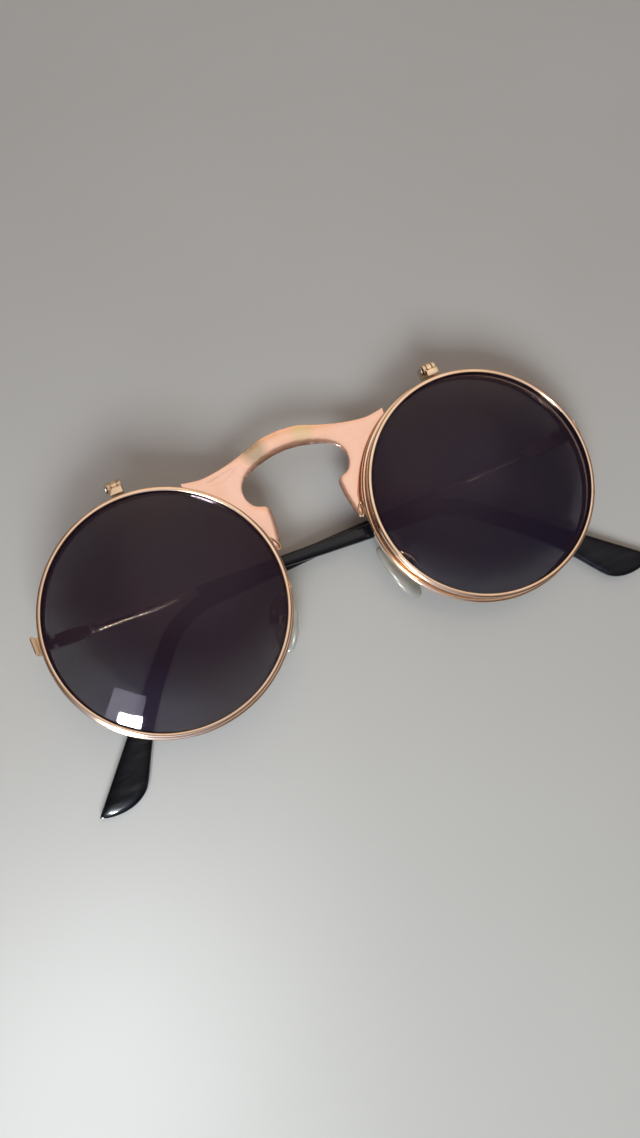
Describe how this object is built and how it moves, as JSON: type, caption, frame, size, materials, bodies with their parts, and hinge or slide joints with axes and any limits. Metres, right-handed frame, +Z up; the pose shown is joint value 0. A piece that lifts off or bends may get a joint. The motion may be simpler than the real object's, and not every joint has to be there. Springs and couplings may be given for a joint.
{
  "type": "flip-up sunglasses",
  "caption": "Round metal sunglasses with tinted lenses that hinge up over clear ones, an arched bridge plate, rocking nose pads and folding sprung temples with black sleeves.",
  "frame": {"origin": "centre of the bounding box at its base, where the folded temples touch the ground", "axes": "+Z up through the front of the glasses, +Y towards the brow, +X towards the temple that is folded last; the front is tipped 4 degrees about Y"},
  "size_m": [0.133, 0.063, 0.0203],
  "materials": {
    "polished_gold_metal": "polished warm gold plating",
    "screw_steel": "bright",
    "tinted_lens": "dark grey tint, gloss",
    "clear_lens": "clear, gloss",
    "black_sleeve": "gloss",
    "pad_silicone": "translucent, satin"
  },
  "bodies": {
    "frame": {"bridge_plate": "polished_gold_metal", "back_rim_left": "polished_gold_metal", "back_lens_left": "clear_lens", "flip_hinge_base_left": "polished_gold_metal", "flip_hinge_screw_left": "screw_steel", "end_piece_left": "polished_gold_metal", "rim_screw_left": "screw_steel", "temple_hinge_leaf_left": "polished_gold_metal", "temple_hinge_screw_left": "screw_steel", "pad_arm_left": "polished_gold_metal", "pad_box_left": "polished_gold_metal", "pad_screw_left": "screw_steel", "back_rim_right": "polished_gold_metal", "back_lens_right": "clear_lens", "flip_hinge_base_right": "polished_gold_metal", "flip_hinge_screw_right": "screw_steel", "end_piece_right": "polished_gold_metal", "rim_screw_right": "screw_steel", "temple_hinge_leaf_right": "polished_gold_metal", "temple_hinge_screw_right": "screw_steel", "pad_arm_right": "polished_gold_metal", "pad_box_right": "polished_gold_metal", "pad_screw_right": "screw_steel"},
    "flip_left": {"flip_rim_left": "polished_gold_metal", "flip_lens_left": "tinted_lens", "flip_hinge_leaf_left": "polished_gold_metal"},
    "flip_right": {"flip_rim_right": "polished_gold_metal", "flip_lens_right": "tinted_lens", "flip_hinge_leaf_right": "polished_gold_metal"},
    "temple_left": {"temple_hinge_knuckle_left": "polished_gold_metal", "temple_bar_left": "polished_gold_metal", "spring_collar_left": "polished_gold_metal", "temple_spring_left": "polished_gold_metal", "temple_core_left": "polished_gold_metal", "temple_sleeve_left": "black_sleeve"},
    "temple_right": {"temple_hinge_knuckle_right": "polished_gold_metal", "temple_bar_right": "polished_gold_metal", "spring_collar_right": "polished_gold_metal", "temple_spring_right": "polished_gold_metal", "temple_core_right": "polished_gold_metal", "temple_sleeve_right": "black_sleeve"},
    "pad_left": {"nose_pad_left": "pad_silicone", "pad_stud_left": "polished_gold_metal"},
    "pad_right": {"nose_pad_right": "pad_silicone", "pad_stud_right": "polished_gold_metal"}
  },
  "joints": [
    {"name": "flip_left_hinge", "type": "hinge", "parent": "frame", "child": "flip_left", "pos_m": [-0.0369, 0.03027, 0.01476], "axis": [-0.9976, 0, 0.0698], "range_deg": [0, 105]},
    {"name": "flip_right_hinge", "type": "hinge", "parent": "frame", "child": "flip_right", "pos_m": [0.03421, 0.03027, 0.00979], "axis": [-0.9976, 0, 0.0698], "range_deg": [0, 105]},
    {"name": "temple_left_hinge", "type": "hinge", "parent": "frame", "child": "temple_left", "pos_m": [-0.06147, 0.00637, 0.00967], "axis": [0, 1, 0], "range_deg": [0, 92]},
    {"name": "temple_right_hinge", "type": "hinge", "parent": "frame", "child": "temple_right", "pos_m": [0.05863, 0.00637, 0.00127], "axis": [0, -1, 0], "range_deg": [0, 88]},
    {"name": "pad_left_rock", "type": "hinge", "parent": "frame", "child": "pad_left", "pos_m": [-0.01629, -0.00718, 0.00695], "axis": [-0.716, 0.3378, -0.6109], "range_deg": [-7, 7]},
    {"name": "pad_right_rock", "type": "hinge", "parent": "frame", "child": "pad_right", "pos_m": [0.01351, -0.00718, 0.00487], "axis": [0.624, 0.3378, -0.7046], "range_deg": [-7, 7]}
  ]
}
